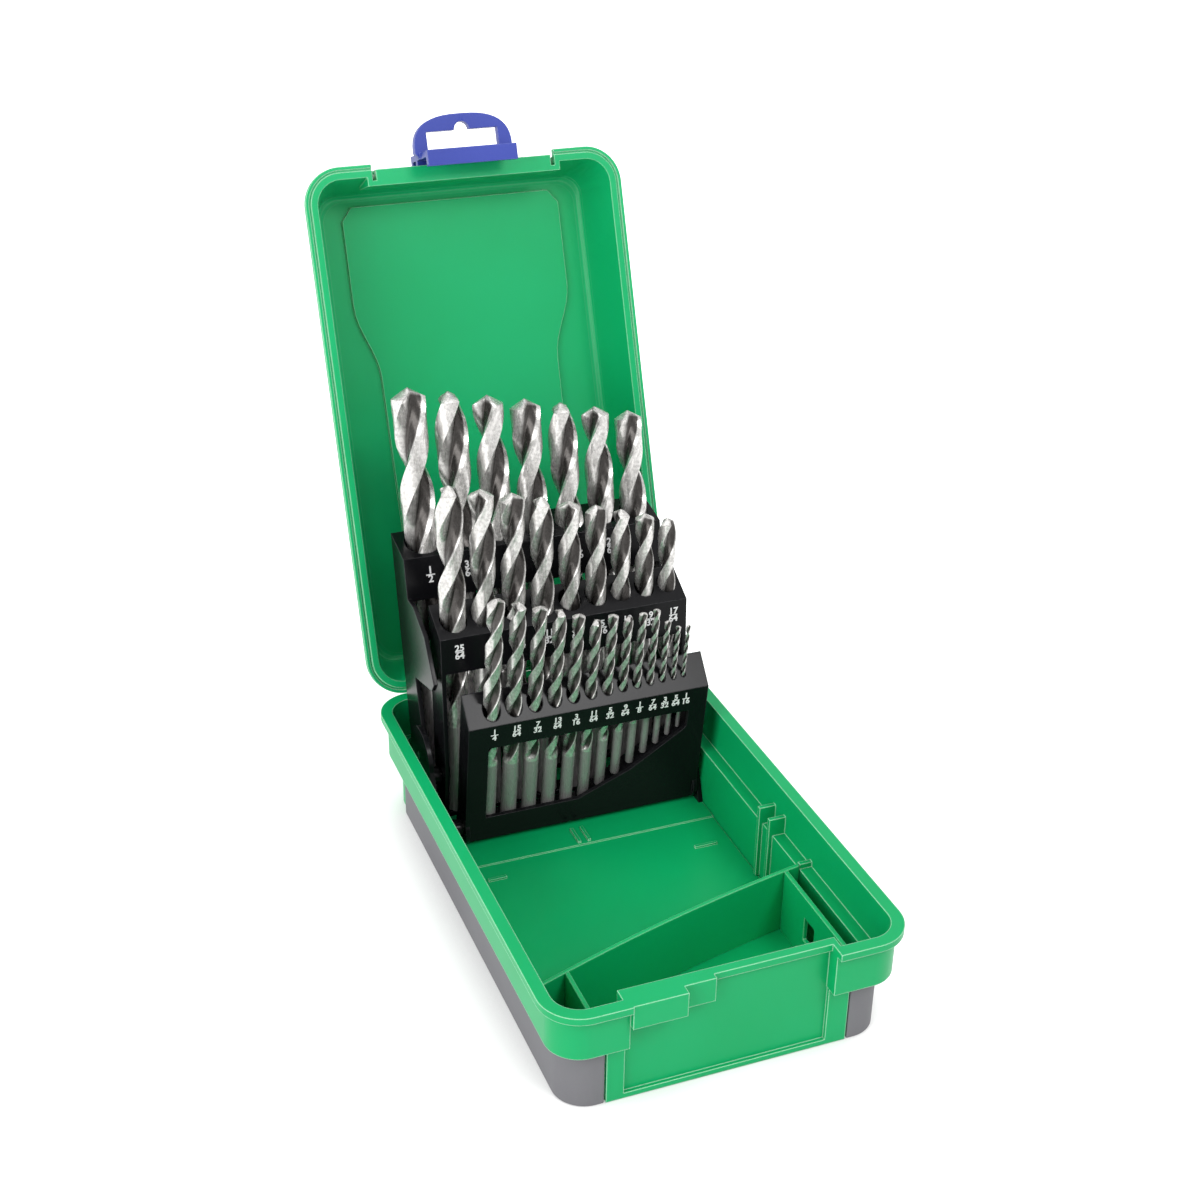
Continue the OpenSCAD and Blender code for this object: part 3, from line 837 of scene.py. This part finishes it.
class Case:
    """Base, lid, tray, skirts and clasp."""

    def build(self, finishes: Finishes) -> None:
        """Builds and dresses the moulded parts of the case.

        Args:
            finishes: the finishes to use.
        """
        Moulding("base_shell", Body.BASE, Slot.SHELL, 0.9 * MM).build(finishes.shell)
        Moulding("lid_shell", Body.LID, Slot.LID, 0.9 * MM).build(finishes.lid)
        for node in ("compartment_tray", "cross_divider", "divider_left", "divider_right",
                     "tray_ribs"):
            Moulding(node, Body.BASE, Slot.TRAY, 0.35 * MM).build(finishes.tray)
        for node in ("skirt_left", "skirt_right"):
            Moulding(node, Body.BASE, Slot.SKIRT, 0.4 * MM).build(finishes.skirt)
        Moulding("latch_clasp", Body.LATCH, Slot.CLASP, 0.6 * MM,
                 join_faces=False).build(finishes.clasp)


class Racks:
    """The three racks, their brackets, pins, drills and printed sizes."""

    floor_start = 4.0
    floor_knee = 22.0
    knee_height = 12.6
    floor_slopes = (0.7, 0.72)

    def front_floor(self, x: float) -> float:
        """Finds how high the front rack's climbing floor stands.

        Args:
            x: place across the rack in millimetres.

        Returns:
            The height over the rack's foot line in millimetres.
        """
        if x < self.floor_start:
            return 0.0
        if x < self.floor_knee:
            return (x - self.floor_start) * self.floor_slopes[0]
        return self.knee_height + (x - self.floor_knee) * self.floor_slopes[1]

    def rows(self) -> list[DrillRow]:
        """Describes the three rows of drills.

        Returns:
            The rows, back to front.
        """
        back = DrillRow(
            "back", Body.BACK, RowPlace(76.5 * MM, 13.3 * MM, 13.4),
            first_64ths=32, count=7, first_x=-41.2 * MM, web=2.6 * MM,
            label_along=84.0 * MM, label_across=-8.2 * MM, label_height=6.2 * MM, sides=48)
        middle = DrillRow(
            "middle", Body.MIDDLE, RowPlace(61.8 * MM, 11.5 * MM, 2.7),
            first_64ths=25, count=9, first_x=-39.9 * MM, web=2.1 * MM,
            label_along=68.2 * MM, label_across=-7.0 * MM, label_height=5.8 * MM, sides=44)
        front = DrillRow(
            "front", Body.FRONT, RowPlace(51.0 * MM, 10.6 * MM, -8.0),
            first_64ths=16, count=13, first_x=-33.0 * MM, web=2.28 * MM,
            label_along=44.4 * MM, label_across=-4.7 * MM, label_height=5.2 * MM, sides=36)
        front.seats = [self.front_floor((front.across(i) + front.diameter(i) / 2) / MM) * MM
                       for i in range(front.count)]
        return [back, middle, front]

    def build(self, finishes: Finishes) -> None:
        """Builds and dresses the racks.

        Args:
            finishes: the finishes to use.
        """
        for node, body in (("back_rack", Body.BACK), ("middle_rack", Body.MIDDLE),
                           ("front_rack", Body.FRONT), ("bracket_left", Body.BASE),
                           ("bracket_right", Body.BASE)):
            Moulding(node, body, Slot.RACK, 0.35 * MM).build(finishes.rack)
        for row in self.rows():
            row.build_drills(finishes)
            row.build_labels(finishes)
        for node in ("pivot_pins_back", "pivot_pins_middle", "pivot_pins_front", "hinge_pins"):
            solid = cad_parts[node]
            solid.data.materials.clear()
            solid.data.materials.append(finishes.pin)
            log.info("%s: kept with new finish", node)


@dataclass(frozen=True)
class Softbox:
    """A square area light that faces the case: side in metres, power in watts."""

    name: str
    place: tuple[float, float, float]
    side: float
    power: float
    aim: tuple[float, float, float] = (0.0, 0.0, 0.08)

    def add(self) -> None:
        """Adds the light to the scene."""
        data = bpy.data.lights.new(self.name, "AREA")
        data.size = self.side
        data.energy = self.power
        light = bpy.data.objects.new(self.name, data)
        bpy.context.scene.collection.objects.link(light)
        toward = Vector(self.aim) - Vector(self.place)
        light.matrix_world = (Matrix.Translation(Vector(self.place))
                              @ toward.to_track_quat("-Z", "Y").to_matrix().to_4x4())


class Studio:
    """Floor, lights and camera."""

    softboxes = (
        Softbox("key", (0.35, -0.75, 0.95), 0.35, 4.6),
        Softbox("fill", (-0.9, -0.35, 0.5), 0.7, 7.0),
        Softbox("top", (0.1, 0.3, 1.3), 0.9, 2.5),
    )
    world_light = 0.84
    floor_half = 4.0
    floor_height = -0.0002
    floor_glow = (0.3, 0.9)
    glow_distance = (0.05, 0.6)
    floor_grey = 0.79
    # Reach, occlusion range and greys of the painted contact shadow on the floor.
    contact_shadow_reach = 0.035
    contact_shadow_occlusion = (0.42, 0.79)
    contact_shadow_grey = (0.5, 1.0)
    camera_place = Vector((-0.21077, -0.49720, 0.41272))
    camera_right = Vector((0.93027, -0.36647, 0.01736))
    camera_up = Vector((0.15901, 0.44537, 0.88111))
    lens = 55.82
    sensor = 36.0

    def build_camera(self) -> None:
        """Places the camera at the photograph's viewpoint."""
        data = bpy.data.cameras.new("camera")
        data.sensor_fit = "HORIZONTAL"
        data.sensor_width = self.sensor
        data.lens = self.lens
        camera = bpy.data.objects.new("camera", data)
        bpy.context.scene.collection.objects.link(camera)
        right = self.camera_right.normalized()
        back = right.cross(self.camera_up).normalized()
        up = back.cross(right)
        turn = Matrix((right, up, back)).transposed().to_4x4()
        camera.matrix_world = Matrix.Translation(self.camera_place) @ turn
        bpy.context.scene.camera = camera

    def build_floor(self) -> None:
        """Lays a floor that looks white to the camera, with a painted shadow near the case.

        The floor glows more the further it is from the case, for camera and mirror rays only, and
        for the camera its colour darkens into a painted shadow where something within the contact
        reach covers it.
        """
        corners = ((-1, -1), (1, -1), (1, 1), (-1, 1))
        points = [(self.floor_half * x, self.floor_half * y, self.floor_height)
                  for x, y in corners]
        mesh = bpy.data.meshes.new("floor")
        mesh.from_pydata(points, [], [[0, 1, 2, 3]])
        floor = bpy.data.objects.new("floor", mesh)
        bpy.context.scene.collection.objects.link(floor)
        material, tree, shader = new_material("floor")
        shader.inputs["Roughness"].default_value = 0.9
        shader.inputs["Specular IOR Level"].default_value = 0.0
        path = tree.nodes.new("ShaderNodeLightPath")
        seen = tree.nodes.new("ShaderNodeMath")
        seen.operation = "MAXIMUM"
        tree.links.new(path.outputs["Is Camera Ray"], seen.inputs[0])
        tree.links.new(path.outputs["Is Glossy Ray"], seen.inputs[1])
        strength = tree.nodes.new("ShaderNodeMath")
        strength.operation = "MULTIPLY"
        place = tree.nodes.new("ShaderNodeTexCoord")
        away = tree.nodes.new("ShaderNodeVectorMath")
        away.operation = "LENGTH"
        tree.links.new(place.outputs["Object"], away.inputs[0])
        glow = add_range(tree, away.outputs["Value"], *self.floor_glow, *self.glow_distance)
        tree.links.new(glow, strength.inputs[1])
        tree.links.new(seen.outputs[0], strength.inputs[0])
        shader.inputs["Emission Color"].default_value = (1.0, 1.0, 1.0, 1.0)
        tree.links.new(strength.outputs[0], shader.inputs["Emission Strength"])
        # Painted contact shadow: for camera rays the floor's colour darkens where ambient occlusion
        # finds the case close by.
        near = tree.nodes.new("ShaderNodeAmbientOcclusion")
        near.inputs["Distance"].default_value = self.contact_shadow_reach
        white = tree.nodes.new("ShaderNodeMapRange")
        white.inputs["To Min"].default_value = self.floor_grey
        tree.links.new(path.outputs["Is Camera Ray"], white.inputs["Value"])
        painted_contact_shadow = add_range(tree, near.outputs["AO"], *self.contact_shadow_grey, *self.contact_shadow_occlusion)
        tree.links.new(painted_contact_shadow, white.inputs["To Max"])
        tree.links.new(white.outputs["Result"], shader.inputs["Base Color"])
        mesh.materials.append(material)

    def build_world(self) -> None:
        """Surrounds the case with soft white light."""
        world = bpy.data.worlds.new("studio")
        world.use_nodes = True
        tree = world.node_tree
        background = tree.nodes["Background"]
        background.inputs["Color"].default_value = (1.0, 1.0, 1.0, 1.0)
        path = tree.nodes.new("ShaderNodeLightPath")
        level = add_range(tree, path.outputs["Is Camera Ray"], self.world_light, 1.0)
        tree.links.new(level, background.inputs["Strength"])
        bpy.context.scene.world = world

    def build(self) -> None:
        """Builds the whole studio."""
        self.build_camera()
        self.build_floor()
        self.build_world()
        for softbox in self.softboxes:
            softbox.add()
        bpy.context.scene.view_settings.view_transform = "Standard"
        log.info("studio: camera, floor, world and three lights")


def main() -> None:
    """Builds the studio, the case and the racks in order."""
    logging.basicConfig(level=logging.INFO, format="%(message)s")
    Studio().build()
    finishes = Finishes()
    Case().build(finishes)
    Racks().build(finishes)


if __name__ == "__main__":
    main()
